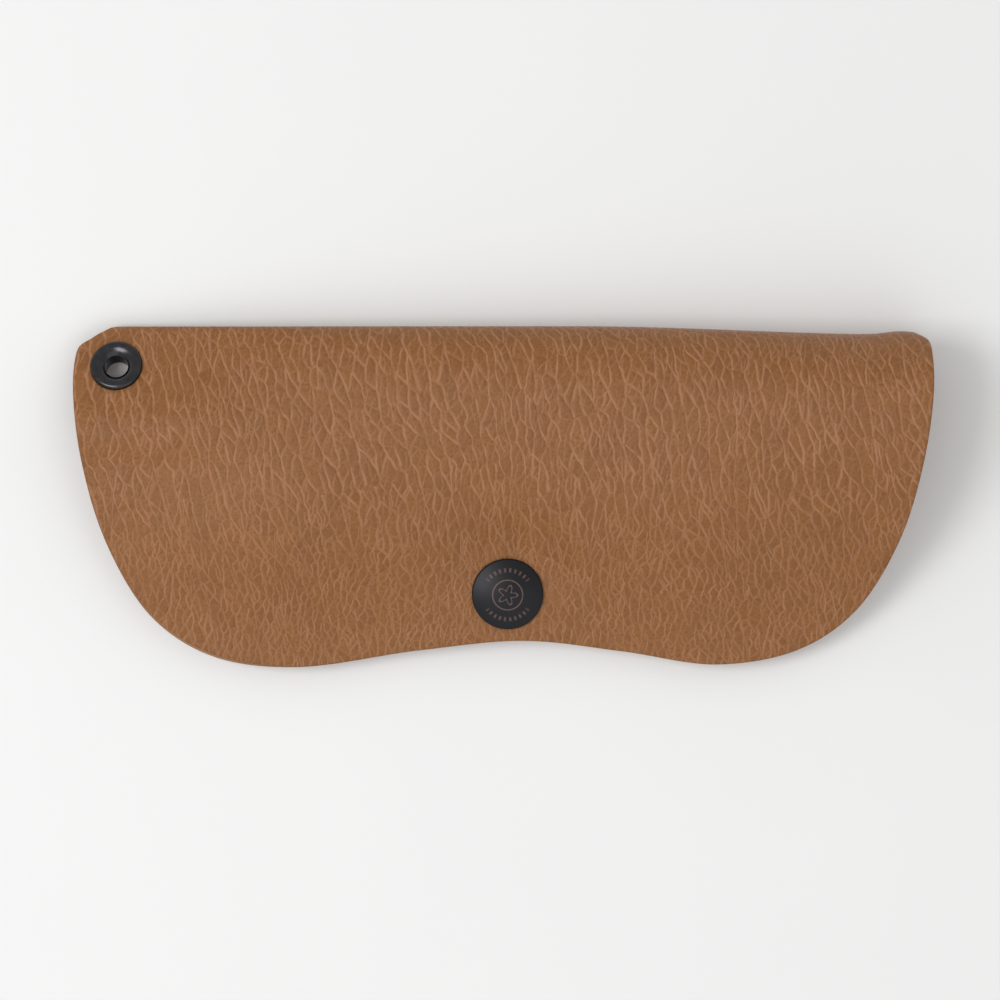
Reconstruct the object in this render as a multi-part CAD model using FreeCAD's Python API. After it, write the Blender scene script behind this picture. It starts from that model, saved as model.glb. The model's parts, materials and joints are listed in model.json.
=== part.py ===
"""Soft leather glasses pouch: one sheet folded along its back edge, pinched at one corner by a
metal eyelet and closed at the front by a snap fastener.

Millimetres. The pouch lies on its back panel. +X runs along the fold, +Y points at the fold,
+Z points away from the surface it rests on. The origin is the middle of its footprint.
"""
import FreeCAD
import Part
import math
import os

V = FreeCAD.Vector

# Leather sheet
THICK = 1.5
BACK_MID = THICK / 2  # height of the back panel's middle surface
FOLD_Y = 35.0  # the fold's middle surface at its furthest
CREST_Y = 20.0  # where the front is highest, and where the fold's round part ends
FLAT_Y = 8.0  # the back panel is flat up to here
FRONT_Y = -37.5  # just past the front edge
CREST_MID = 17.3  # crest height at X = 0
CREST_RISE = 0.083  # the crest rises towards the open right end
FRONT_MID = 4.2  # height of the front panel's middle surface along its front edge

# The half of the outline in front of the fold, from the right end of the fold to the left one
OUTLINE = [
    (80.5, 35.4), (82.6, 35.0), (84.8, 34.3), (87.2, 33.3), (89.2, 32.1), (89.9, 29.0),
    (90.0, 22.0), (88.1, 7.7), (83.1, -9.1), (74.1, -23.8), (62.5, -31.9), (45.5, -35.2),
    (25.0, -32.4), (4.5, -30.2), (-18.0, -32.3), (-43.5, -35.7), (-61.0, -33.0),
    (-73.5, -24.9), (-82.7, -10.4), (-87.8, 5.5), (-90.0, 21.5), (-89.7, 28.5),
    (-88.8, 31.4), (-86.5, 32.9), (-84.2, 34.3), (-82.4, 34.9), (-80.5, 35.4),
]

# The corner pinched by the eyelet: both layers lie together on one tilted plane
EYELET_AT = (-80.8, 26.7)
PINCH_SLOPE_Y = 0.44  # height lost per mm towards the fold
PINCH_SLOPE_X = 0.12  # height gained per mm towards the right
PINCH_HALF = 0.81  # half the distance between the layers' middle surfaces
PINCH_NOSE_Z = 2.9  # height of the middle of the stack at the fold
PINCH_FROM, PINCH_TO = -74.0, -30.0  # the pinch lets go between these X
PINCH_FRONT_Y = 6.0  # the front layer is free of the pinch in front of here

# Two soft lobes on the front, one for each lens
LOBE_X, LOBE_Y = 44.0, -8.0
LOBE_RISE = 3.5
LOBE_LONG, LOBE_WIDE = 27.0, 17.0
LOBE_FADE = 14.0  # the lobes fade out over this depth next to the crest

# Snap fastener
SNAP_X, SNAP_Y = 1.1, -19.7
SNAP_TILT = 8.0  # degrees that the cap and socket lean towards the front edge
SNAP_SEAT, SNAP_DIMPLE = 7.6, 19.0  # radii: flat under the cap, and where the dimple ends
CAP_R, CAP_RISE = 7.5, 2.3
SOCKET_Z = 3.0  # height of the middle of the socket's mouth
SOCKET_R, SOCKET_FLANGE_R, SOCKET_H = 4.8, 6.0, 3.2
SOCKET_BORE_R, SOCKET_SHEET = 3.1, 0.5
SPRING_R, SPRING_WIRE_R, SPRING_H = 3.32, 0.25, 1.0
CAP_POST_R, CAP_CURL_R, CAP_CURL_H = 1.6, 2.3, 0.35
STUD_FLANGE_R, STUD_FLANGE_H = 5.2, 0.5
STUD_NECK_R, STUD_BULB_R, STUD_H = 2.1, 2.5, 3.4
POST_FLANGE_R, POST_FLANGE_H, POST_R = 4.6, 0.45, 1.5

# Eyelet
EYELET_R, EYELET_BORE_R, EYELET_TUBE_R = 5.5, 2.5, 3.0
EYELET_RISE = 1.1  # how far its rolled rim stands up
WASHER_H = 0.5
CURL_R, CURL_H = 4.1, 0.8

# The bend line, on the outer skin of the front layer
HINGE_LEFT = (-90.0, 14.0)
HINGE_RIGHT = (90.0, 29.0)
HINGE_GAP = 0.3  # between the leather's two solids along the bend line

# Fits and making
SHANK_PLAY = 0.03  # round a metal shank in the front layer or the fold
POST_PLAY = 0.05  # round the post and its flange in the back panel
SEAT_PLAY = 0.1  # round the cap, the socket's flange and the washer, which press flat seats
SEAT_PRESS = 0.05  # how deep those seats are pressed
SEAT_DEPTH = 2.0  # how far the tools that flatten the seats reach
REACH = 100.0  # past the sheet on every side
SHEET_END = 93.0  # the skins run past the outline, to this X at both ends
DENSE_FROM = -72.0  # stations are closest together from here to PINCH_TO
HALVINGS = 40


def smooth(t):
    t = min(1.0, max(0.0, t))
    return t * t * (3.0 - 2.0 * t)


def mix(a, b, t):
    return a + (b - a) * t


def pinch(x):
    return 1.0 - smooth((x - PINCH_FROM) / (PINCH_TO - PINCH_FROM))


def crest(x):
    return CREST_MID + CREST_RISE * x


PINCH_ANGLE = math.atan(PINCH_SLOPE_Y)
NOSE_Y = FOLD_Y - PINCH_HALF


def stack_height(x, y):
    """The height of the plane between the two pinched layers."""
    return PINCH_NOSE_Z + PINCH_SLOPE_Y * (NOSE_Y - y) + PINCH_SLOPE_X * (x - EYELET_AT[0])


def pinched_layer(x, y, side):
    return stack_height(x, y) + side * PINCH_HALF / math.cos(PINCH_ANGLE)


def front_height(x, y):
    """The middle surface of the front layer, in front of the crest."""
    run = max(0.0, (CREST_Y - y) / (CREST_Y - FRONT_Y))
    z = mix(FRONT_MID, crest(x), 0.5 + 0.5 * math.cos(math.pi * run))
    for lobe in (-LOBE_X, LOBE_X):
        spread = ((x - lobe) / LOBE_LONG) ** 2 + ((y - LOBE_Y) / LOBE_WIDE) ** 2
        z += LOBE_RISE * math.exp(-spread) * smooth((CREST_Y - y) / LOBE_FADE)
    held = pinch(x) * smooth((y - PINCH_FRONT_Y) / (CREST_Y - PINCH_FRONT_Y))
    z = mix(z, pinched_layer(x, y, 1), held)
    seat_z = SOCKET_Z + (SOCKET_H + THICK / 2) * math.cos(math.radians(SNAP_TILT))
    seat_y = SNAP_Y - (SOCKET_H + THICK / 2) * math.sin(math.radians(SNAP_TILT))
    seat = seat_z + (y - seat_y) * math.tan(math.radians(SNAP_TILT))
    r = math.hypot(x - SNAP_X, y - seat_y)
    return mix(seat, z, smooth((r - SNAP_SEAT) / (SNAP_DIMPLE - SNAP_SEAT)))


def back_height(x, y):
    """The middle surface of the back layer between the flat part and the fold's round part."""
    t = (y - FLAT_Y) / (CREST_Y - FLAT_Y)
    rise = pinched_layer(x, CREST_Y, -1) - BACK_MID
    slope = -PINCH_SLOPE_Y * (CREST_Y - FLAT_Y)
    lift = rise * t * t * (3 - 2 * t) + slope * t * t * (t - 1)
    return BACK_MID + pinch(x) * lift


def round_part(x, turn):
    """The fold's round part, from turn = -90 degrees at the back layer to 90 at the front."""
    c, s = math.cos(math.radians(turn)), math.sin(math.radians(turn))
    half = (crest(x) - BACK_MID) / 2
    open_y, open_z = CREST_Y + (FOLD_Y - CREST_Y) * c, BACK_MID + half + half * s
    straight = FOLD_Y - PINCH_HALF - CREST_Y
    turn_limit = math.degrees(math.acos(straight / (FOLD_Y - CREST_Y)))
    along = max(0.0, NOSE_Y - open_y) / math.cos(PINCH_ANGLE)
    if abs(turn) >= turn_limit:
        off_t, off_n = -along, math.copysign(PINCH_HALF, turn)
    else:
        curl = math.radians(90.0 * turn / turn_limit)
        off_t, off_n = PINCH_HALF * math.cos(curl), PINCH_HALF * math.sin(curl)
    shut_y = NOSE_Y + off_t * math.cos(PINCH_ANGLE) + off_n * math.sin(PINCH_ANGLE)
    shut_z = stack_height(x, NOSE_Y) - off_t * math.sin(PINCH_ANGLE) + off_n * math.cos(PINCH_ANGLE)
    p = pinch(x)
    return mix(open_y, shut_y, p), mix(open_z, shut_z, p)


def sheet_point(x, w):
    """The sheet's middle surface: w is 0 to 1 on the back, 1 to 2 round the fold, 2 to 3 in front."""
    lean = PINCH_HALF * math.sin(PINCH_ANGLE) * pinch(x)
    if w < 1.0:
        y = mix(FLAT_Y, CREST_Y - lean, w)
        return V(x, y, back_height(x, y))
    if w <= 2.0:
        y, z = round_part(x, 180.0 * (w - 1.5))
        return V(x, y, z)
    y = mix(CREST_Y + lean, FRONT_Y, w - 2.0)
    return V(x, y, front_height(x, y))


def hinge_y(x):
    return mix(HINGE_LEFT[1], HINGE_RIGHT[1], (x - HINGE_LEFT[0]) / (HINGE_RIGHT[0] - HINGE_LEFT[0]))


def hinge_w(x, side):
    """Where the bend line crosses the sheet at x, found by halving. side is the gap's side."""
    target = hinge_y(x) + side * HINGE_GAP / 2
    low, high = 1.5, 3.0
    for _ in range(HALVINGS):
        middle = (low + high) / 2
        if sheet_point(x, middle).y > target:
            low = middle
        else:
            high = middle
    return low


def normal_at(x, w):
    step = 1e-3
    along_x = sheet_point(x + step, w) - sheet_point(x - step, w)
    along_w = sheet_point(x, w + step) - sheet_point(x, w - step)
    return along_w.cross(along_x).normalize()


def skin(xs, rows, side):
    """One face of the sheet, side * THICK / 2 off its middle surface. rows gives w at each x."""
    grid = []
    for x in xs:
        grid.append([sheet_point(x, w) + normal_at(x, w) * (side * THICK / 2) for w in rows(x)])
    surface = Part.BSplineSurface()
    surface.interpolate(grid)
    return surface.toShape().Faces[0]


def sheet_solid(xs, rows):
    """A closed solid between the sheet's two skins."""
    outer, inner = skin(xs, rows, 1), skin(xs, rows, -1)
    sides = []
    for a, b in zip(outer.Edges, inner.Edges):
        sides.append(Part.makeRuledSurface(a, b))
    shell = Part.makeCompound([outer, inner] + sides)
    shell.sewShape(1e-4)
    closed = shell.Shells[0]
    if Part.makeSolid(closed).Volume < 0:
        closed.reverse()
    return Part.makeSolid(closed)


def outline_prism(bottom, height):
    curve = Part.BSplineCurve()
    curve.interpolate([V(x, y, bottom) for x, y in OUTLINE])
    left, right = curve.EndPoint, curve.StartPoint
    ends = [left, V(left.x, REACH, bottom), V(right.x, REACH, bottom), right]
    edges = [curve.toShape()] + [Part.makeLine(a, b) for a, b in zip(ends, ends[1:])]
    return Part.Face(Part.Wire(edges)).extrude(V(0, 0, height))


def steps(a, b, n):
    return [mix(a, b, i / n) for i in range(n + 1)]


STATIONS = (steps(-SHEET_END, DENSE_FROM, 7) + steps(DENSE_FROM, PINCH_TO, 12)[1:]
            + steps(PINCH_TO, SHEET_END, 20)[1:])


def snap_frame():
    tilt = math.radians(SNAP_TILT)
    return V(SNAP_X, SNAP_Y, SOCKET_Z), V(0, -math.sin(tilt), math.cos(tilt))


def eyelet_frame():
    at = V(EYELET_AT[0], EYELET_AT[1], stack_height(*EYELET_AT))
    return at, V(-PINCH_SLOPE_X, PINCH_SLOPE_Y, 1.0).normalize()


def dome(rim, top):
    """An arc's entry for turned(), from rim to the point on the axis at height top, round a centre
    on the axis."""
    centre = (top * top - rim[0] ** 2 - rim[1] ** 2) / (2 * (top - rim[1]))
    radius = top - centre
    r = rim[0] / 2
    return ((r, centre + math.sqrt(radius ** 2 - r ** 2)), (0, top))


def turned(points, base, axis):
    """A solid turned from (radius, height) points about an axis through base. An arc's entry is
    a pair of points: its middle and its end."""
    def at(p):
        return V(p[0], 0, p[1])
    edges, here = [], points[0]
    for p in points[1:] + [points[0]]:
        if isinstance(p[0], tuple):
            edges.append(Part.Arc(at(here), at(p[0]), at(p[1])).toShape())
            here = p[1]
        else:
            edges.append(Part.makeLine(at(here), at(p)))
            here = p
    solid = Part.Face(Part.Wire(edges)).revolve(V(0, 0, 0), V(0, 0, 1), 360)
    solid.Placement = FreeCAD.Placement(base, FreeCAD.Rotation(V(0, 0, 1), axis))
    return solid


def rod(radius, start, axis, length):
    return Part.makeCylinder(radius, length, start, axis)


def back_panel():
    flat_part = Part.makeBox(2 * REACH, REACH + FLAT_Y, THICK, V(-REACH, -REACH, 0))
    panel = outline_prism(0, THICK).common(flat_part)
    base = V(SNAP_X, SNAP_Y, 0)
    hole = rod(POST_R + POST_PLAY, base, V(0, 0, 1), THICK)
    recess = rod(POST_FLANGE_R + POST_PLAY, base, V(0, 0, 1), POST_FLANGE_H)
    return panel.cut(hole).cut(recess)


def spine_fold():
    def rows(x):
        return steps(0, 1, 8) + steps(1, hinge_w(x, 1), 36)[1:]
    fold = sheet_solid(STATIONS, rows).common(outline_prism(-5, 50))
    at, up = eyelet_frame()
    half_hole = 2 * (PINCH_HALF + THICK)
    hole = rod(EYELET_TUBE_R + SHANK_PLAY, at - up * half_hole, up, 2 * half_hole)
    washer_seat = at - up * (PINCH_HALF + THICK / 2 - SEAT_PRESS)
    under_washer = rod(EYELET_R + SEAT_PLAY, washer_seat, up * -1, SEAT_DEPTH)
    return fold.cut(hole).cut(under_washer)


def front_panel():
    """The front layer, with flat seats pressed under the cap and over the socket."""
    def rows(x):
        return steps(hinge_w(x, -1), 3, 34)
    panel = sheet_solid(STATIONS, rows).common(outline_prism(-5, 50))
    at, up = snap_frame()
    hole = rod(CAP_POST_R + SHANK_PLAY, at, up, 2 * (SOCKET_H + THICK))
    cap_seat = at + up * (SOCKET_H + THICK - SEAT_PRESS)
    under_cap = rod(CAP_R + SEAT_PLAY, cap_seat, up, SEAT_DEPTH)
    socket_seat = at + up * (SOCKET_H + SEAT_PRESS)
    over_socket = rod(SOCKET_FLANGE_R + SEAT_PLAY, socket_seat, up * -1, SEAT_DEPTH)
    return panel.cut(hole).cut(under_cap).cut(over_socket)


def snap_cap():
    at, up = snap_frame()
    under = SOCKET_H + THICK - SEAT_PRESS
    ceiling = SOCKET_H - SOCKET_SHEET
    profile = [
        (0, ceiling - CAP_CURL_H), (CAP_CURL_R, ceiling - CAP_CURL_H), (CAP_CURL_R, ceiling),
        (CAP_POST_R, ceiling), (CAP_POST_R, under), (CAP_R - 0.5, under),
        ((CAP_R, under + 0.5), (CAP_R - 0.35, under + 0.95)),
        dome((CAP_R - 0.35, under + 0.95), under + CAP_RISE),
    ]
    return turned(profile, at, up)


def snap_socket():
    at, up = snap_frame()
    groove = SPRING_WIRE_R + 0.08
    groove_r = SPRING_R + groove
    top = SOCKET_H + SEAT_PRESS
    ceiling = SOCKET_H - SOCKET_SHEET
    profile = [
        (SOCKET_BORE_R, 0), (SOCKET_R - 0.5, 0), ((SOCKET_R - 0.15, 0.15), (SOCKET_R, 0.5)),
        (SOCKET_R, ceiling), (SOCKET_FLANGE_R, ceiling), (SOCKET_FLANGE_R, top),
        (CAP_POST_R, top), (CAP_POST_R, ceiling), (SOCKET_BORE_R, ceiling),
        (SOCKET_BORE_R, SPRING_H + groove), (groove_r, SPRING_H + groove),
        (groove_r, SPRING_H - groove), (SOCKET_BORE_R, SPRING_H - groove),
    ]
    return turned(profile, at, up)


def socket_spring():
    """A round wire ring with a gap, held in the socket's groove."""
    at, up = snap_frame()
    ring = Part.makeTorus(SPRING_R, SPRING_WIRE_R, V(0, 0, 0), V(0, 0, 1), 0, 360, 330)
    ring.Placement = FreeCAD.Placement(at + up * SPRING_H, FreeCAD.Rotation(V(0, 0, 1), up))
    return ring


def snap_stud():
    base = V(SNAP_X, SNAP_Y, THICK)
    hollow_r = POST_R + 0.3
    profile = [
        (POST_R, 0), (STUD_FLANGE_R, 0), (STUD_FLANGE_R, STUD_FLANGE_H),
        (STUD_NECK_R + 0.3, STUD_FLANGE_H),
        (STUD_NECK_R, STUD_FLANGE_H + 0.4), (STUD_NECK_R, STUD_H - 1.2),
        ((STUD_BULB_R, STUD_H - 0.75), (STUD_BULB_R - 0.35, STUD_H - 0.25)),
        dome((STUD_BULB_R - 0.35, STUD_H - 0.25), STUD_H),
        (0, STUD_H - 0.5), (hollow_r - 0.1, STUD_H - 0.8),
        (hollow_r, 0.9), (POST_R, 0.9),
    ]
    return turned(profile, base, V(0, 0, 1))


def stud_post():
    """A flanged tube pushed up through the back panel and flared inside the stud."""
    top = THICK + 1.4
    profile = [
        (POST_R - 0.4, 0.4), (POST_R - 1.0, 0), (POST_FLANGE_R - 0.2, 0), (POST_FLANGE_R, 0.2),
        (POST_FLANGE_R, POST_FLANGE_H), (POST_R, POST_FLANGE_H), (POST_R, THICK + 0.95),
        (POST_R + 0.2, top - 0.25), (POST_R + 0.2, top), (POST_R - 0.4, top),
    ]
    return turned(profile, V(SNAP_X, SNAP_Y, 0), V(0, 0, 1))


def eyelet_barrel():
    """The flanged tube: a funnel mouth above the leather, a curl below the washer."""
    at, up = eyelet_frame()
    skin_h = PINCH_HALF + THICK / 2
    low = -skin_h - WASHER_H
    crown = (EYELET_R - 0.8, skin_h + EYELET_RISE)
    profile = [
        (EYELET_BORE_R, low + 0.1), (EYELET_BORE_R, skin_h),
        ((EYELET_BORE_R + 0.95, skin_h + EYELET_RISE - 0.32), crown),
        ((EYELET_R - 0.12, skin_h + 0.75), (EYELET_R, skin_h)),
        (EYELET_TUBE_R, skin_h), (EYELET_TUBE_R, low), (CURL_R, low),
        ((CURL_R - 0.35, low - 0.6), (EYELET_TUBE_R + 0.1, low - CURL_H)),
    ]
    return turned(profile, at, up)


def eyelet_washer():
    at, up = eyelet_frame()
    low = -(PINCH_HALF + THICK / 2) - WASHER_H
    top = low + WASHER_H + SEAT_PRESS
    profile = [
        (EYELET_TUBE_R, low), (EYELET_R - 0.3, low),
        ((EYELET_R - 0.08, low + 0.12), (EYELET_R, top)),
        (EYELET_TUBE_R, top),
    ]
    return turned(profile, at, up)


NODES = {
    "back_panel": back_panel,
    "spine_fold": spine_fold,
    "front_panel": front_panel,
    "eyelet_barrel": eyelet_barrel,
    "eyelet_washer": eyelet_washer,
    "snap_cap": snap_cap,
    "snap_socket": snap_socket,
    "socket_spring": socket_spring,
    "snap_stud": snap_stud,
    "stud_post": stud_post,
}

os.makedirs("parts", exist_ok=True)
for name, make in NODES.items():
    shape = make()
    box = shape.optimalBoundingBox()
    print(name, shape.ShapeType, len(shape.Solids), shape.isValid(), round(shape.Volume, 1),
          [round(v, 2) for v in (box.XMin, box.XMax, box.YMin, box.YMax, box.ZMin, box.ZMax)])
    shape.exportStep("parts/" + name + ".step")
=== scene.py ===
"""The looks of the soft leather glasses pouch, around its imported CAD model.

Lengths in the shape functions are millimetres, in the CAD's own frame: +X along the fold, +Y at
the fold, +Z up. Meshes are made in metres.
"""
import json
import math

import bpy
import numpy as np
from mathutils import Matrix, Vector
from mathutils.geometry import delaunay_2d_cdt


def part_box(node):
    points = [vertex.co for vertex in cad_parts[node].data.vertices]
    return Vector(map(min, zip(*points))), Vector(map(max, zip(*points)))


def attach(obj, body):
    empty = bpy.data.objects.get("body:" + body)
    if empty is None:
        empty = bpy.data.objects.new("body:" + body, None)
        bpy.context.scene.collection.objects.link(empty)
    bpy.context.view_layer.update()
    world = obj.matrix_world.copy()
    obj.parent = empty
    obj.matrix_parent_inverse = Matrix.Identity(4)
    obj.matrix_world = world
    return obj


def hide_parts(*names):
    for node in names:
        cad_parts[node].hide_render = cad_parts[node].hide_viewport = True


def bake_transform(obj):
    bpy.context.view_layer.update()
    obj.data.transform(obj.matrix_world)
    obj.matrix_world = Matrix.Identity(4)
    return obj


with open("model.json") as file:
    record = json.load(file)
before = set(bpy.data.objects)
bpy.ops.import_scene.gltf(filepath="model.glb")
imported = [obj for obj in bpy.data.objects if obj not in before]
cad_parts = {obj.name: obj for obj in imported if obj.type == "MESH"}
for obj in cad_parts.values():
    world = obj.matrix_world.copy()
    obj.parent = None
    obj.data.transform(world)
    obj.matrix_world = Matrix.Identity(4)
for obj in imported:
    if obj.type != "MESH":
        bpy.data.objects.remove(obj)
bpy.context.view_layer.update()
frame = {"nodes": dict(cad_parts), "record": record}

MM = 0.001
NODES = frame["nodes"]
MOUNTS = {mount["name"]: mount for mount in frame["record"]["mounts"]}


def node_box(name):
    """A CAD node's lowest and highest corners, in millimetres."""
    low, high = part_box(name)
    return low / MM, high / MM


# ---- the leather sheet's shape ----

THICK = node_box("back_panel")[1].z
BACK_MID = THICK / 2
FOLD_Y = node_box("spine_fold")[1].y - THICK / 2
FLAT_Y = node_box("back_panel")[1].y
CREST_Y = 20.0
FRONT_Y = -37.5
CREST_MID, CREST_RISE = 17.3, 0.083
FRONT_MID = 4.2
ROUND = 19.0  # pattern length from the fold's outermost line to the crest
FOLD_DROP = 1.8  # the fold draws in towards its open end, over these X
DROP_FROM, DROP_LONG = 15.0, 70.0
FLARE, FLARE_X, FLARE_WIDE = 0.4, 83.5, 4.5  # share of that drop won back near the end

OUTLINE = [
    (80.5, 35.4), (82.6, 35.0), (84.8, 34.3), (87.2, 33.3), (89.2, 32.1), (89.9, 29.0),
    (90.0, 22.0), (88.1, 7.7), (83.1, -9.1), (74.1, -23.8), (62.5, -31.9), (45.5, -35.2),
    (25.0, -32.4), (4.5, -30.2), (-18.0, -32.3), (-43.5, -35.7), (-61.0, -33.0),
    (-73.5, -24.9), (-82.7, -10.4), (-87.8, 5.5), (-90.0, 21.5), (-89.7, 28.5),
    (-88.8, 31.4), (-86.5, 32.9), (-84.2, 34.3), (-82.4, 34.9), (-80.5, 35.4),
]

EYELET_AXIS = Vector(MOUNTS["carry_eyelet"]["axis"]).normalized()
BORE_BELOW = 0.2  # the bore's middle lies this far under the middle of the two layers
EYELET_MIDDLE = Vector(MOUNTS["carry_eyelet"]["pos_m"]) / MM + EYELET_AXIS * BORE_BELOW
EYELET_BORE = MOUNTS["carry_eyelet"]["dims"]["r_mm"]
TUBE_WALL = 0.6
EYELET_HOLE = EYELET_BORE + TUBE_WALL
HOLE_POINTS = 40
PINCH_SLOPE_Y = EYELET_AXIS.y / EYELET_AXIS.z
PINCH_SLOPE_X = -EYELET_AXIS.x / EYELET_AXIS.z
PINCH_ANGLE = math.atan(PINCH_SLOPE_Y)
PINCH_HALF = 0.81
PINCH_FROM, PINCH_TO = -74.0, -30.0
PINCH_FRONT_Y = 6.0  # where the front layer starts to be held down
NOSE_Y = FOLD_Y - PINCH_HALF

LOBE_X, LOBE_Y = 44.0, -8.0
LOBE_RISE, LOBE_LONG, LOBE_WIDE, LOBE_FADE = 3.5, 27.0, 17.0, 14.0

STUD_LOW, STUD_HIGH = node_box("snap_stud")
SNAP_X, SNAP_Y = (STUD_LOW.x + STUD_HIGH.x) / 2, (STUD_LOW.y + STUD_HIGH.y) / 2
SNAP_TILT = math.radians(8.0)
SOCKET_Z, SOCKET_H = 3.0, 3.2
SNAP_AXIS = Vector((0, -math.sin(SNAP_TILT), math.cos(SNAP_TILT)))
SNAP_MOUTH = Vector((SNAP_X, SNAP_Y, SOCKET_Z))
SNAP_SEAT, SNAP_DIMPLE = 7.6, 19.0

NORMAL_STEP = 0.05
SHEET_END, HALVINGS = 90.0, 40  # pattern places are found by halving 0 to SHEET_END


def smooth(t):
    t = np.clip(t, 0.0, 1.0)
    return t * t * (3.0 - 2.0 * t)


def mix(a, b, t):
    return a + (b - a) * t


def pinch(x):
    return 1.0 - smooth((x - PINCH_FROM) / (PINCH_TO - PINCH_FROM))


def crest(x):
    return CREST_MID + CREST_RISE * x


def stack_height(x, y):
    """The plane between the two layers that the eyelet holds together."""
    across = PINCH_SLOPE_X * (x - EYELET_MIDDLE.x)
    return EYELET_MIDDLE.z + across + PINCH_SLOPE_Y * (EYELET_MIDDLE.y - y)


def pinched_layer(x, y, side):
    return stack_height(x, y) + side * PINCH_HALF / math.cos(PINCH_ANGLE)


def front_height(x, y):
    """The middle surface of the front layer in front of the crest."""
    run = np.maximum(0.0, (CREST_Y - y) / (CREST_Y - FRONT_Y))
    z = mix(FRONT_MID, crest(x), 0.5 + 0.5 * np.cos(math.pi * run))
    for lobe in (-LOBE_X, LOBE_X):
        spread = ((x - lobe) / LOBE_LONG) ** 2 + ((y - LOBE_Y) / LOBE_WIDE) ** 2
        z = z + LOBE_RISE * np.exp(-spread) * smooth((CREST_Y - y) / LOBE_FADE)
    held = pinch(x) * smooth((y - PINCH_FRONT_Y) / (CREST_Y - PINCH_FRONT_Y))
    z = mix(z, pinched_layer(x, y, 1), held)
    seat_at = SNAP_MOUTH + SNAP_AXIS * (SOCKET_H + THICK / 2)
    seat = seat_at.z + (y - seat_at.y) * math.tan(SNAP_TILT)
    away = np.hypot(x - seat_at.x, y - seat_at.y)
    return mix(seat, z, smooth((away - SNAP_SEAT) / (SNAP_DIMPLE - SNAP_SEAT)))


def back_height(x, y):
    """The middle surface of the back layer up to the fold's round part."""
    t = np.clip((y - FLAT_Y) / (CREST_Y - FLAT_Y), 0.0, 1.0)
    rise = pinched_layer(x, CREST_Y, -1) - BACK_MID
    slope = -PINCH_SLOPE_Y * (CREST_Y - FLAT_Y)
    lift = rise * t * t * (3 - 2 * t) + slope * t * t * (t - 1)
    return BACK_MID + pinch(x) * lift


def round_part(x, turn):
    """The fold's round part: turn is -90 degrees at the back layer and 90 at the crest."""
    c, s = np.cos(turn), np.sin(turn)
    half = (crest(x) - BACK_MID) / 2
    open_y, open_z = CREST_Y + (FOLD_Y - CREST_Y) * c, BACK_MID + half + half * s
    turn_limit = math.acos((NOSE_Y - CREST_Y) / (FOLD_Y - CREST_Y))
    along = np.maximum(0.0, NOSE_Y - open_y) / math.cos(PINCH_ANGLE)
    straight = np.abs(turn) >= turn_limit
    curl = np.clip(turn / turn_limit, -1, 1) * math.pi / 2
    off_t = np.where(straight, -along, PINCH_HALF * np.cos(curl))
    off_n = PINCH_HALF * np.sin(curl)
    shut_y = NOSE_Y + off_t * math.cos(PINCH_ANGLE) + off_n * math.sin(PINCH_ANGLE)
    shut_z = stack_height(x, NOSE_Y) - off_t * math.sin(PINCH_ANGLE) + off_n * math.cos(PINCH_ANGLE)
    p = pinch(x)
    return mix(open_y, shut_y, p), mix(open_z, shut_z, p)


def sheet(x, v):
    """The sheet's middle surface at pattern place (x, v): v is 0 on the fold's outermost line,
    positive on the front layer and negative on the back one."""
    lean = PINCH_HALF * math.sin(PINCH_ANGLE) * pinch(x)
    front_y = CREST_Y + lean - (v - ROUND)
    back_y = CREST_Y - lean + (v + ROUND)
    round_y, round_z = round_part(x, np.clip(v / ROUND, -1, 1) * math.pi / 2)
    y = np.where(v > ROUND, front_y, np.where(v < -ROUND, back_y, round_y))
    front_z, back_z = front_height(x, front_y), back_height(x, back_y)
    z = np.where(v > ROUND, front_z, np.where(v < -ROUND, back_z, round_z))
    flare = FLARE * np.exp(-(((x - FLARE_X) / FLARE_WIDE) ** 2))
    drawn_in = smooth((x - DROP_FROM) / DROP_LONG) - flare
    y = y - FOLD_DROP * drawn_in * smooth((y - CREST_Y) / (FOLD_Y - CREST_Y))
    return np.stack([x, y, z], axis=-1)


def sheet_normal(x, v):
    """The sheet's outward normal: up on the front, down on the back."""
    along_x = sheet(x + NORMAL_STEP, v) - sheet(x - NORMAL_STEP, v)
    along_v = sheet(x, v + NORMAL_STEP) - sheet(x, v - NORMAL_STEP)
    n = np.cross(along_v, along_x)
    return n / np.linalg.norm(n, axis=-1, keepdims=True)


def pattern_v(x, y, side):
    """The pattern's v where the sheet's front (side 1) or back (side -1) layer passes (x, y)."""
    low, high = np.zeros_like(x), np.full_like(x, SHEET_END)
    for _ in range(HALVINGS):
        middle = (low + high) / 2
        beyond = sheet(x, side * middle)[..., 1] > y
        low, high = np.where(beyond, middle, low), np.where(beyond, high, middle)
    return side * low


# ---- the leather's meshes ----

GRID = 1.0  # spacing of the mesh's points
EDGE_STEP = 0.7  # spacing of the points along a cut edge
EDGE_ROUND = 0.35  # the cut edge's rounding
EDGE_RINGS = (0.3, 1.0)  # rings of points inside the cut edge, as shares of EDGE_ROUND
END_LEAN = 0.3  # how far the cut edge leans inwards as it reaches the fold
CLEAR_OF_EDGE = 0.8 * GRID


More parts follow.
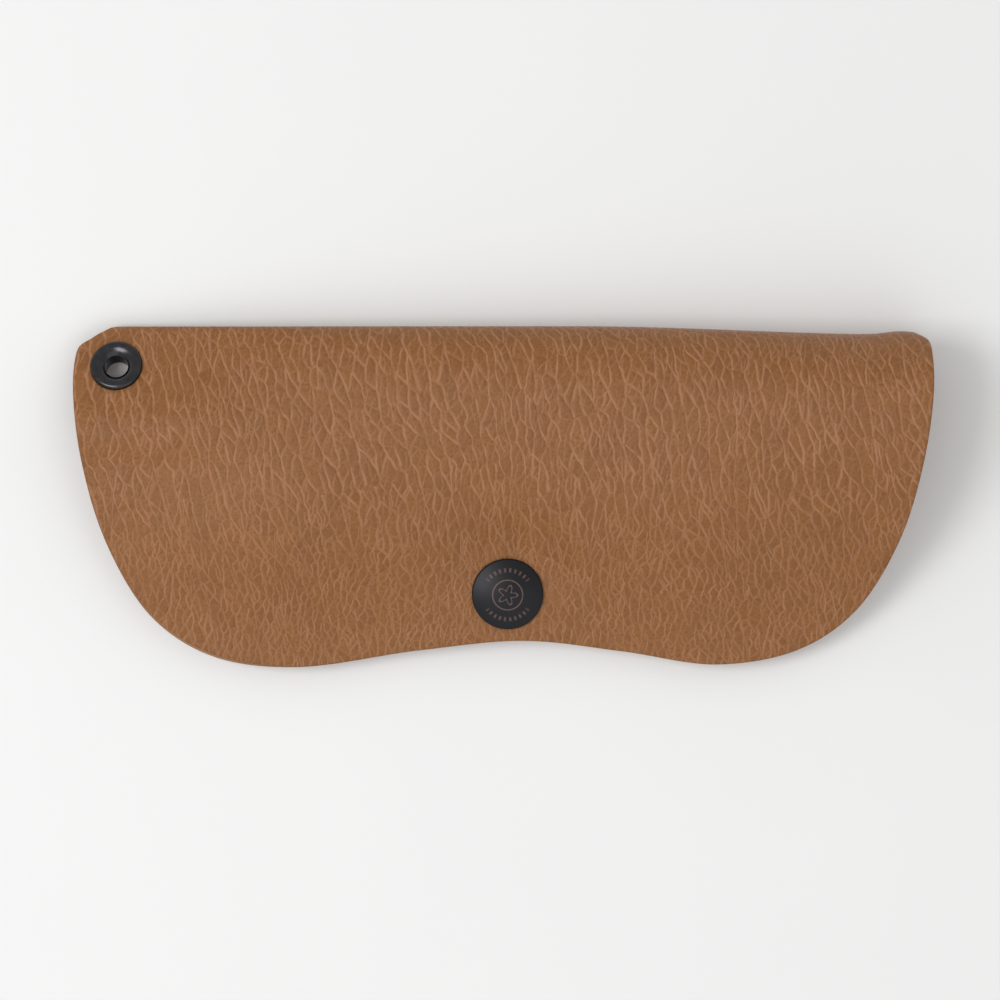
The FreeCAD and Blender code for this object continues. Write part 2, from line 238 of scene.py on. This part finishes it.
def curve_through(points, step):
    """Points about step apart on a smooth curve through the given ones."""
    p = np.array(points, float)
    p = np.vstack([2 * p[0] - p[1], p, 2 * p[-1] - p[-2]])
    out = []
    for a, b, c, d in zip(p, p[1:], p[2:], p[3:]):
        n = max(1, round(np.linalg.norm(c - b) / step))
        t = (np.arange(n) / n)[:, None]
        t_b, t_c = np.linalg.norm(b - a) ** 0.5, np.linalg.norm(c - b) ** 0.5
        t_d = np.linalg.norm(d - c) ** 0.5
        m_b = t_c * ((b - a) / t_b - (c - a) / (t_b + t_c) + (c - b) / t_c)
        m_c = t_c * ((c - b) / t_c - (d - b) / (t_c + t_d) + (d - c) / t_d)
        h_0, h_1 = 2 * t ** 3 - 3 * t ** 2 + 1, t ** 3 - 2 * t ** 2 + t
        h_2, h_3 = -2 * t ** 3 + 3 * t ** 2, t ** 3 - t ** 2
        out.append(h_0 * b + h_1 * m_b + h_2 * c + h_3 * m_c)
    return np.vstack(out + [p[-2:-1]])


def half_pattern():
    """The cut outline of one half in pattern places, from its right end at the fold to its left."""
    plan = curve_through(OUTLINE, EDGE_STEP)
    line = np.stack([plan[:, 0], pattern_v(plan[:, 0], plan[:, 1], 1)], axis=1)
    line = line[line[:, 1] > EDGE_STEP]
    return np.vstack([(line[0, 0] - END_LEAN, 0.0), line, (line[-1, 0] + END_LEAN, 0.0)])


def inside(points, loops):
    """Which points lie inside the loops, counting crossings to their right."""
    result = np.zeros(len(points), bool)
    for loop in loops:
        a, b = loop, np.roll(loop, -1, axis=0)
        for (ax, ay), (bx, by) in zip(a, b):
            spans = (ay > points[:, 1]) != (by > points[:, 1])
            if ay != by:
                cross = ax + (points[:, 1] - ay) / (by - ay) * (bx - ax)
                result ^= spans & (points[:, 0] < cross)
    return result


def distance_to(points, line):
    """Each point's distance to an open line of points."""
    a, b = line[:-1], line[1:]
    best = np.full(len(points), np.inf)
    for p, q in zip(a, b):
        d = q - p
        t = np.clip(((points - p) @ d) / max(d @ d, 1e-12), 0, 1)
        best = np.minimum(best, np.hypot(*(points - p - t[:, None] * d).T))
    return best


def leather_piece(name, cut, split, holes, materials):
    """A closed piece of the sheet. cut is its cut edge, from one end of its split line to the
    other; split is the line where it meets the other piece; holes are closed loops."""
    loop = np.vstack([cut, split[1:-1]])
    rings = []
    for share in EDGE_RINGS:
        depth = EDGE_ROUND * share
        tangent = np.gradient(cut, axis=0)
        normal = np.stack([-tangent[:, 1], tangent[:, 0]], axis=1)
        normal /= np.linalg.norm(normal, axis=1, keepdims=True)
        ring = cut + normal * depth
        if not inside(ring[len(ring) // 2:len(ring) // 2 + 1], [loop])[0]:
            ring = cut - normal * depth
        rings.append(ring[2:-2])
    xs = np.arange(loop[:, 0].min(), loop[:, 0].max(), GRID)
    vs = np.arange(loop[:, 1].min(), loop[:, 1].max(), GRID)
    grid = np.stack(np.meshgrid(xs, vs), axis=-1).reshape(-1, 2)
    grid[:, 0] += (np.round(grid[:, 1] / GRID) % 2) * GRID / 2
    edges_of = [cut, split] + [np.vstack([hole, hole[:1]]) for hole in holes]
    keep = inside(grid, [loop] + holes)
    for line in edges_of:
        keep &= distance_to(grid, line) > CLEAR_OF_EDGE
    loops, places, borders = [loop] + holes, [], []
    for ring in loops:
        start = sum(len(p) for p in places)
        n = len(ring)
        borders += [(start + i, start + (i + 1) % n) for i in range(n)]
        places.append(ring)
    places = np.vstack(places + rings + [grid[keep]])
    verts, _, faces, _, _, _ = delaunay_2d_cdt([Vector(p) for p in places], borders, [], 0, 1e-5)
    flat = np.array([tuple(v) for v in verts])
    faces = np.array([tuple(f) for f in faces])
    centres = flat[faces].mean(axis=1)
    faces = faces[inside(centres, loops)]
    off = distance_to(flat, cut)
    for hole in holes:
        off = np.minimum(off, distance_to(flat, np.vstack([hole, hole[:1]])))
    rounding = np.clip(1 - off / EDGE_ROUND, 0, 1)
    half = THICK / 2 - EDGE_ROUND * (1 - np.sqrt(np.maximum(0, 1 - rounding ** 2)))
    middle, normal = sheet(flat[:, 0], flat[:, 1]), sheet_normal(flat[:, 0], flat[:, 1])
    outer, inner = middle + normal * half[:, None], middle - normal * half[:, None]
    return closed_mesh(name, flat, outer, inner, faces, off, split, materials)


def closed_mesh(name, flat, outer, inner, faces, off, split, materials):
    """Joins the two skins by a wall round every border and lays the pattern out as the UV map."""
    n = len(flat)
    mesh = bpy.data.meshes.new(name)
    sides = dict.fromkeys(
        (a, b) for face in faces for a, b in zip(face, np.roll(face, -1)))
    open_edges = [(a, b) for a, b in sides if (b, a) not in sides]
    walls = [(b, a, a + n, b + n) for a, b in open_edges]
    polygons = [tuple(face) for face in faces] + [tuple(face[::-1] + n) for face in faces] + walls
    mesh.from_pydata((np.vstack([outer, inner]) * MM).tolist(), [], polygons)
    uv = mesh.uv_layers.new(name="pattern")
    place = np.vstack([flat, flat]) * MM
    corner_vertex = np.zeros(len(mesh.loops), np.int32)
    mesh.loops.foreach_get("vertex_index", corner_vertex)
    uv.data.foreach_set("uv", place[corner_vertex].astype(np.float32).ravel())
    on_split = distance_to(flat, split) < 1e-4
    slots = np.concatenate([np.zeros(len(faces)), np.ones(len(faces)), np.full(len(walls), 2)])
    near_edge = (off[faces] < EDGE_ROUND * 0.7).all(axis=1)
    slots[:len(faces)][near_edge] = 2
    slots[len(faces):2 * len(faces)][near_edge] = 2
    mesh.polygons.foreach_set("material_index", slots.astype(np.int32))
    for material in materials:
        mesh.materials.append(material)
    mesh.shade_smooth()
    both = np.concatenate([on_split, on_split])
    for edge in mesh.edges:
        a, b = edge.vertices
        if both[a] and both[b]:
            edge.use_edge_sharp = True
    mesh.validate()
    piece = bpy.data.objects.new(name, mesh)
    bpy.context.scene.collection.objects.link(piece)
    outward = mesh.polygons[0].normal @ Vector((outer[faces[0]] - inner[faces[0]]).mean(axis=0))
    if outward < 0:
        mesh.flip_normals()
    return piece


def circle_in_pattern(side):
    """The eyelet's hole through one layer, as a loop of pattern places."""
    turn = np.arange(HOLE_POINTS) / HOLE_POINTS * 2 * math.pi
    across = Vector((1, 0, PINCH_SLOPE_X)).normalized()
    along = EYELET_AXIS.cross(across)
    centre = EYELET_MIDDLE + EYELET_AXIS * (side * PINCH_HALF)
    points = np.array(centre) + EYELET_HOLE * (
        np.cos(turn)[:, None] * np.array(across) + np.sin(turn)[:, None] * np.array(along))
    v = pattern_v(points[:, 0], points[:, 1], side)
    return np.stack([points[:, 0], v], axis=1)


def make_leather(materials):
    """The sheet in two pieces that meet under the fold, where the back layer lies flat."""
    half = half_pattern()
    front_part = half[:, 1] > ROUND
    first, last = np.argmax(front_part), len(half) - 1 - np.argmax(front_part[::-1])

    def at_split(a, b):
        t = (ROUND - a[1]) / (b[1] - a[1])
        return a + (b - a) * t
    right, left = at_split(half[first - 1], half[first]), at_split(half[last + 1], half[last])
    back_cut = np.vstack([right, half[first:last + 1], left]) * (1, -1)
    turn_right = np.vstack([right, half[:first][::-1]]) * (1, -1)
    turn_left = np.vstack([half[last + 1:][::-1], left]) * (1, -1)
    front_cut = np.vstack([turn_right, half[1:-1], turn_left])
    steps = round((right[0] - left[0]) / GRID)
    line = np.linspace(left, right, steps + 1) * (1, -1)
    front = leather_piece("leather_front", front_cut, line,
                          [circle_in_pattern(1), circle_in_pattern(-1)], materials)
    back = leather_piece("leather_back", back_cut, line, [], materials)
    return front, back


# ---- shader maths ----

class Wire:
    """A socket of a shader tree that Python's operators work on."""

    def __init__(self, shader, socket):
        self.shader, self.socket = shader, socket

    def maths(self, operation, *values):
        return self.shader.maths(operation, *values)

    def __add__(self, other):
        return self.maths("ADD", self, other)

    def __radd__(self, other):
        return self.maths("ADD", other, self)

    def __sub__(self, other):
        return self.maths("SUBTRACT", self, other)

    def __rsub__(self, other):
        return self.maths("SUBTRACT", other, self)

    def __mul__(self, other):
        return self.maths("MULTIPLY", self, other)

    def __rmul__(self, other):
        return self.maths("MULTIPLY", other, self)

    def __truediv__(self, other):
        return self.maths("DIVIDE", self, other)

    def __rtruediv__(self, other):
        return self.maths("DIVIDE", other, self)

    def __pow__(self, other):
        return self.maths("POWER", self, other)

    def step(self, low, high):
        """0 below low, 1 above high, smooth between them."""
        settings = {"interpolation_type": "SMOOTHSTEP"}
        return self.shader.node("ShaderNodeMapRange", settings, [self, low, high, 0.0, 1.0])

    def most(self, other):
        return self.maths("MAXIMUM", self, other)


class Shader:
    """A material's node tree, with one method that adds any node."""

    def __init__(self, name):
        self.material = bpy.data.materials.new(name)
        self.material.use_nodes = True
        self.tree = self.material.node_tree
        self.tree.nodes.clear()
        self.output = self.tree.nodes.new("ShaderNodeOutputMaterial")

    def maths(self, operation, *values):
        return self.node("ShaderNodeMath", {"operation": operation}, values)

    def node(self, kind, settings=None, inputs=(), output=0):
        made = self.tree.nodes.new(kind)
        for key, value in (settings or {}).items():
            setattr(made, key, value)
        pairs = inputs.items() if isinstance(inputs, dict) else enumerate(inputs)
        for key, value in pairs:
            if isinstance(value, Wire):
                self.tree.links.new(value.socket, made.inputs[key])
            elif value is not None:
                made.inputs[key].default_value = value
        return Wire(self, made.outputs[output])

    def pattern(self):
        """The sheet's own pattern place, in millimetres."""
        uv = self.node("ShaderNodeUVMap", {"uv_map": "pattern"})
        return self.node("ShaderNodeVectorMath", {"operation": "SCALE"}, {0: uv, 3: 1 / MM})

    def place(self):
        """The place on the object, in millimetres."""
        at = self.node("ShaderNodeTexCoord", output=3)
        return self.node("ShaderNodeVectorMath", {"operation": "SCALE"}, {0: at, 3: 1 / MM})

    def moved(self, vector, location=(0, 0, 0), rotation=(0, 0, 0), scale=(1, 1, 1)):
        return self.node("ShaderNodeMapping", {"vector_type": "TEXTURE"},
                         [vector, location, rotation, scale])

    def noise(self, vector, size, detail=2.0, roughness=0.5, output=0):
        return self.node("ShaderNodeTexNoise", {"noise_dimensions": "3D"},
                         {"Vector": vector, "Scale": 1 / size, "Detail": detail,
                          "Roughness": roughness}, output)

    def cells(self, vector, feature, output, smoothness=None):
        inputs = {"Vector": vector, "Scale": 1.0}
        if smoothness is not None:
            inputs["Smoothness"] = smoothness
        return self.node("ShaderNodeTexVoronoi", {"voronoi_dimensions": "2D", "feature": feature},
                         inputs, output)

    def parts(self, vector):
        """The vector's three numbers."""
        return [self.node("ShaderNodeSeparateXYZ", {}, [vector], i) for i in range(3)]

    def warped(self, vector, size, amount):
        """The vector pushed about by a noise of that size."""
        push = self.node("ShaderNodeVectorMath", {"operation": "SUBTRACT"},
                         [self.noise(vector, size, 1.0, output=1), (0.5, 0.5, 0.5)])
        push = self.node("ShaderNodeVectorMath", {"operation": "SCALE"}, {0: push, 3: amount})
        return self.node("ShaderNodeVectorMath", {"operation": "ADD"}, [vector, push])

    def blend(self, factor, a, b, how="MIX"):
        """A mix of two colours."""
        settings = {"data_type": "RGBA", "blend_type": how, "clamp_result": True}
        colours = [c if isinstance(c, Wire) else (*c, 1.0) for c in (a, b)]
        return self.node("ShaderNodeMix", settings, {0: factor, 6: colours[0], 7: colours[1]}, 2)

    def bump(self, height, distance, strength=1.0):
        return self.node("ShaderNodeBump", {},
                         {"Strength": strength, "Distance": distance * MM, "Height": height})

    def finish(self, inputs):
        surface = self.node("ShaderNodeBsdfPrincipled", {}, inputs)
        self.tree.links.new(surface.socket, self.output.inputs["Surface"])
        return self.material


# ---- materials ----

def srgb(r, g, b):
    """A colour given as display values, 0 to 255, as the linear one that the shader takes."""
    def linear(c):
        return ((c / 255 + 0.055) / 1.055) ** 2.4 if c > 10 else c / 255 / 12.92
    return linear(r), linear(g), linear(b)


GRAIN_LEAN = math.radians(-15)
GRAIN_DEEP, GRAIN_TAN = srgb(124, 78, 34), srgb(141, 91, 44)
GRAIN_SHADE, CREASE_TAN = srgb(108, 66, 31), srgb(171, 123, 92)
LONG_PEBBLE, LONG_WIDTH = (2.1, 4.4), 0.40
SHORT_PEBBLE, SHORT_WIDTH = (1.5, 2.4), 0.30
RING_R, DASHES_R = 3.15, 5.2
ROSETTE_R, PETAL_DEEP, PETALS, DASH_COUNT = 1.5, 0.6, 5, 30


def pebbles(s, at, size, lean, width):
    """Cells of that size and lean: their creases, 1 in the middle of one, and their domes. The
    creases that run along the cells are the strong ones."""
    laid = s.moved(at, rotation=(0, 0, lean), scale=(*size, 1.0))
    edge = s.cells(laid, "DISTANCE_TO_EDGE", 0)
    apart = s.node("ShaderNodeVectorMath", {"operation": "SUBTRACT"},
                   [s.cells(laid, "F2", 2), s.cells(laid, "F1", 2)])
    x, y, _ = s.parts(apart)
    real_x, real_y = x / size[0], y / size[1]
    real = real_x * real_x + real_y * real_y
    away = edge * ((x * x + y * y) / real) ** 0.5
    upright = (real_x * real_x / real).step(0.25, 0.9)
    crease = (1 - away.step(0.0, width)) * (0.22 + 0.78 * upright)
    return crease, away.step(0.0, 2.2 * width), s.cells(laid, "F1", 1)


def grain_leather():
    """The outer side: a coarse shrunken grain of long pebbles with soft, paler creases."""
    s = Shader("tan_grain_leather")
    at = s.pattern()
    _, down, _ = s.parts(at)
    near_edge = down.step(30.0, 62.0)
    drawn = s.warped(s.warped(s.warped(at, 50.0, 12.0), 7.0, 1.8), 1.8, 0.7)
    long_crease, long_dome, cell = pebbles(s, drawn, LONG_PEBBLE, GRAIN_LEAN, LONG_WIDTH)
    short_crease, short_dome, _ = pebbles(
        s, drawn, SHORT_PEBBLE, -0.7 * GRAIN_LEAN, SHORT_WIDTH)
    strength = s.noise(drawn, 3.0, 2.0).step(0.28, 0.62) * 0.65 + 0.35
    patch = s.noise(at, 6.0, 2.0).step(0.35, 0.65)
    long_lines = long_crease * strength * (1 - 0.5 * near_edge)
    lines = long_lines.most(short_crease * (0.15 + 0.45 * patch + 0.3 * near_edge))
    fine = s.noise(at, 0.55, 4.0, 0.65)
    height = long_dome * 0.65 + short_dome * 0.3 * patch + fine * 0.3
    tint, _, _ = s.parts(cell)
    broad = s.noise(at, 22.0, 2.0)
    base = s.blend(tint * 0.45 + broad * 0.55, GRAIN_DEEP, GRAIN_TAN)
    base = s.blend(fine.step(0.44, 0.64) * 0.55, base, GRAIN_SHADE)
    base = s.blend(lines * 0.72, base, CREASE_TAN)
    rough = 0.48 + lines * 0.16 + fine * 0.1
    return s.finish({"Base Color": base, "Roughness": rough, "Specular IOR Level": 0.35,
                     "Sheen Weight": 0.12, "Sheen Roughness": 0.3,
                     "Normal": s.bump(height, 0.25, 0.6)})


def flesh_leather():
    """The inner side: a short, even suede nap."""
    s = Shader("tan_flesh_leather")
    at = s.pattern()
    nap = s.noise(s.moved(at, scale=(0.5, 0.25, 1.0)), 1.0, 4.0, 0.7)
    cloud = s.noise(at, 11.0, 3.0)
    base = s.blend(cloud, srgb(158, 118, 84), srgb(176, 136, 100))
    base = s.blend(nap.step(0.35, 0.7) * 0.5, base, srgb(136, 98, 68))
    return s.finish({"Base Color": base, "Roughness": 0.9 + nap * 0.1, "Specular IOR Level": 0.2,
                     "Sheen Weight": 0.25, "Sheen Roughness": 0.5,
                     "Normal": s.bump(nap, 0.12, 0.8)})


def cut_edge():
    """The raw cut edge, sealed and a little darker."""
    s = Shader("tan_leather_edge")
    at = s.place()
    fibre = s.noise(s.moved(at, scale=(1.0, 1.0, 0.25)), 0.6, 4.0, 0.7)
    base = s.blend(fibre, srgb(104, 68, 44), srgb(142, 100, 68))
    return s.finish({"Base Color": base, "Roughness": 0.6 + fibre * 0.2,
                     "Normal": s.bump(fibre, 0.08, 0.7)})


def dark_nickel(name="dark_nickel"):
    """The eyelet's polished dark plating, with fine handling marks."""
    s = Shader(name)
    at = s.place()
    haze = s.noise(at, 1.6, 3.0, 0.6)
    marks = s.noise(s.moved(s.warped(at, 3.0, 0.6), scale=(0.12, 2.4, 0.9)), 1.0, 2.0)
    base = s.blend(haze, srgb(50, 50, 52), srgb(74, 74, 76))
    rough = 0.16 + haze * 0.10 + marks.step(0.55, 0.8) * 0.12
    return s.finish({"Base Color": base, "Metallic": 1.0, "Roughness": rough,
                     "Normal": s.bump(marks, 0.01, 0.4)})


def cap_paint():
    """The snap cap's satin black, with a plain printed rosette that is worn away in patches."""
    s = Shader("satin_black_cap")
    at = s.place()
    top = SNAP_MOUTH + SNAP_AXIS * (SOCKET_H + THICK)
    local = s.moved(at, location=tuple(top), rotation=(SNAP_TILT, 0, 0))
    x, y, _ = s.parts(local)
    r = (x * x + y * y) ** 0.5
    angle = s.maths("ARCTAN2", y, x)
    line = 1 - s.maths("ABSOLUTE", r - RING_R).step(0.07, 0.17)
    dash = s.maths("COSINE", angle * DASH_COUNT).step(0.0, 0.5)
    arcs = s.maths("ABSOLUTE", s.maths("SINE", angle)).step(0.55, 0.62)
    dashes = dash * arcs * (1 - s.maths("ABSOLUTE", r - DASHES_R).step(0.35, 0.5))
    petal = s.maths("COSINE", angle * PETALS)
    rosette = 1 - s.maths("ABSOLUTE", r - (ROSETTE_R + PETAL_DEEP * petal)).step(0.10, 0.2)
    wear = s.noise(at, 0.5, 3.0, 0.65)
    print_mask = line.most(dashes * 0.7).most(rosette) * wear.step(0.2, 0.5)
    dust = s.noise(at, 2.2, 3.0)
    base = s.blend(dust, srgb(7, 8, 14), srgb(14, 15, 23))
    base = s.blend(print_mask * 0.8, base, srgb(112, 84, 76))
    rough = 0.36 + wear * 0.12
    return s.finish({"Base Color": base, "Roughness": rough, "Specular IOR Level": 0.3,
                     "Normal": s.bump(wear, 0.012, 0.5)})


def plated_steel(name, dark, light, rough):
    """A spun or pressed plated part: a little haze."""
    s = Shader(name)
    at = s.place()
    haze = s.noise(at, 1.2, 3.0, 0.6)
    base = s.blend(haze, dark, light)
    return s.finish({"Base Color": base, "Metallic": 1.0, "Roughness": rough + haze * 0.15,
                     "Normal": s.bump(haze, 0.01, 0.4)})


# ---- stage ----

CAMERA_AT = (-0.0005, -0.0007, 3.0)
VIEW_WIDTH, VIEW_LEVEL = 0.2096, 0.010  # metres seen across, and at which height
FLOOR_SIDE = 2.0
ROOM_LIGHT = 0.66


def make_camera():
    """Straight down over the pouch."""
    data = bpy.data.cameras.new("camera")
    data.sensor_width = 36.0
    data.lens = data.sensor_width * (CAMERA_AT[2] - VIEW_LEVEL) / VIEW_WIDTH
    camera = bpy.data.objects.new("camera", data)
    camera.location = CAMERA_AT
    bpy.context.scene.collection.objects.link(camera)
    bpy.context.scene.camera = camera


def area_light(name, place, size, power, target=(0, 0, 0)):
    data = bpy.data.lights.new(name, "AREA")
    data.shape, data.size, data.size_y, data.energy = "RECTANGLE", size[0], size[1], power
    light = bpy.data.objects.new(name, data)
    light.location = place
    light.rotation_euler = (Vector(target) - Vector(place)).to_track_quat("-Z", "Y").to_euler()
    bpy.context.scene.collection.objects.link(light)


def make_stage():
    """The pale floor, the even light of the room and two soft lamps."""
    s = Shader("pale_floor")
    at = s.place()
    tone = s.noise(at, 60.0, 2.0)
    white = s.finish({"Base Color": s.blend(tone, (0.80, 0.80, 0.80), (0.82, 0.82, 0.815)),
                      "Roughness": 0.75})
    mesh = bpy.data.meshes.new("floor")
    corners = [(-1, -1), (1, -1), (1, 1), (-1, 1)]
    mesh.from_pydata([(x * FLOOR_SIDE, y * FLOOR_SIDE, 0) for x, y in corners], [],
                     [(0, 1, 2, 3)])
    mesh.materials.append(white)
    floor = bpy.data.objects.new("floor", mesh)
    bpy.context.scene.collection.objects.link(floor)
    world = bpy.data.worlds.new("soft_room")
    bpy.context.scene.world = world
    world.use_nodes = True
    colour, strength = world.node_tree.nodes["Background"].inputs[:2]
    colour.default_value = (1.0, 1.0, 1.0, 1.0)
    strength.default_value = ROOM_LIGHT
    area_light("key", (-0.48, 0.03, 0.82), (0.44, 0.44), 3.6)
    area_light("front_fill", (0.15, -0.60, 0.95), (1.4, 1.0), 2.2)


bpy.context.scene.view_settings.view_transform = "Standard"
make_camera()
make_stage()
leather = [grain_leather(), flesh_leather(), cut_edge()]
front, back = make_leather(leather)

for name, material in {
        "eyelet_barrel": dark_nickel(), "eyelet_washer": dark_nickel("dark_nickel_washer"),
        "snap_cap": cap_paint(),
        "snap_socket": plated_steel("socket_plating", srgb(52, 54, 58), srgb(84, 86, 90), 0.28),
        "snap_stud": plated_steel("stud_plating", srgb(58, 60, 64), srgb(92, 94, 98), 0.25),
        "stud_post": plated_steel("post_plating", srgb(50, 52, 56), srgb(80, 82, 86), 0.3),
        "socket_spring": plated_steel("spring_brass", srgb(150, 118, 62), srgb(186, 152, 92), 0.3),
        }.items():
    NODES[name].data.materials.clear()
    NODES[name].data.materials.append(material)

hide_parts("spine_fold", "front_panel")
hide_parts("back_panel")
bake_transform(front)
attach(back, "back")
